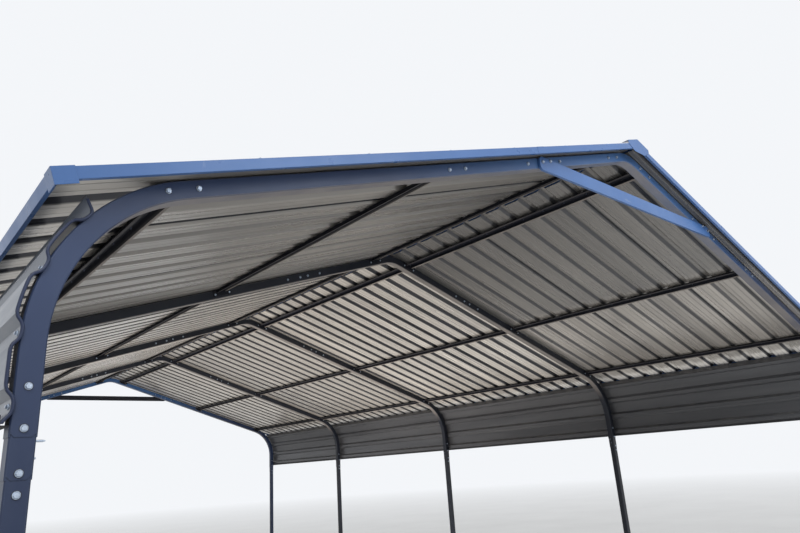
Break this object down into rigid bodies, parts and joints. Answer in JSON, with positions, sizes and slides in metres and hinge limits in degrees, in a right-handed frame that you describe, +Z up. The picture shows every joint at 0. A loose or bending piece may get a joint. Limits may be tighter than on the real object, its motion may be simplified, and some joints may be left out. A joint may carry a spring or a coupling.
{
  "type": "carport",
  "caption": "Open gabled carport with bent square tube frames, ribbed steel roof sheets, short side panels under the eaves and a tie across each gable.",
  "frame": {"origin": "on the ground, midway between the legs and midway along the length", "axes": "+Z up, +Y along the ridge from the front gable to the back, +X to the right seen from the front"},
  "size_m": [6.1384, 9.6992, 3.2706],
  "materials": {
    "frame_paint": "dark slate blue powder coat, satin",
    "purlin_paint": "near black powder coat, satin",
    "roof_sheet": "grey beige back coat below, slate paint above, satin",
    "side_sheet": "dark grey sheet paint, satin",
    "trim_paint": "slate blue sheet paint, glossy"
  },
  "bodies": {
    "root": {"front_peak_tube": "frame_paint", "front_left_eave_tube": "frame_paint", "front_left_leg": "frame_paint", "front_right_eave_tube": "frame_paint", "front_right_leg": "frame_paint", "second_peak_tube": "frame_paint", "second_left_eave_tube": "frame_paint", "second_left_leg": "frame_paint", "second_right_eave_tube": "frame_paint", "second_right_leg": "frame_paint", "middle_peak_tube": "frame_paint", "middle_left_eave_tube": "frame_paint", "middle_left_leg": "frame_paint", "middle_right_eave_tube": "frame_paint", "middle_right_leg": "frame_paint", "fourth_peak_tube": "frame_paint", "fourth_left_eave_tube": "frame_paint", "fourth_left_leg": "frame_paint", "fourth_right_eave_tube": "frame_paint", "fourth_right_leg": "frame_paint", "back_peak_tube": "frame_paint", "back_left_eave_tube": "frame_paint", "back_left_leg": "frame_paint", "back_right_eave_tube": "frame_paint", "back_right_leg": "frame_paint", "left_ridge_purlin": "purlin_paint", "left_middle_purlin": "purlin_paint", "left_eave_purlin": "purlin_paint", "left_roof_sheets": "roof_sheet", "left_side_panel": "side_sheet", "left_panel_rail": "purlin_paint", "left_eave_trim": "trim_paint", "front_left_rake_trim": "trim_paint", "back_left_rake_trim": "trim_paint", "right_ridge_purlin": "purlin_paint", "right_middle_purlin": "purlin_paint", "right_eave_purlin": "purlin_paint", "right_roof_sheets": "roof_sheet", "right_side_panel": "side_sheet", "right_panel_rail": "purlin_paint", "right_eave_trim": "trim_paint", "front_right_rake_trim": "trim_paint", "back_right_rake_trim": "trim_paint", "ridge_cap": "trim_paint", "ridge_end_caps": "trim_paint", "roof_corner_caps": "trim_paint", "front_gable_tie": "frame_paint", "back_gable_tie": "frame_paint"}
  },
  "joints": []
}
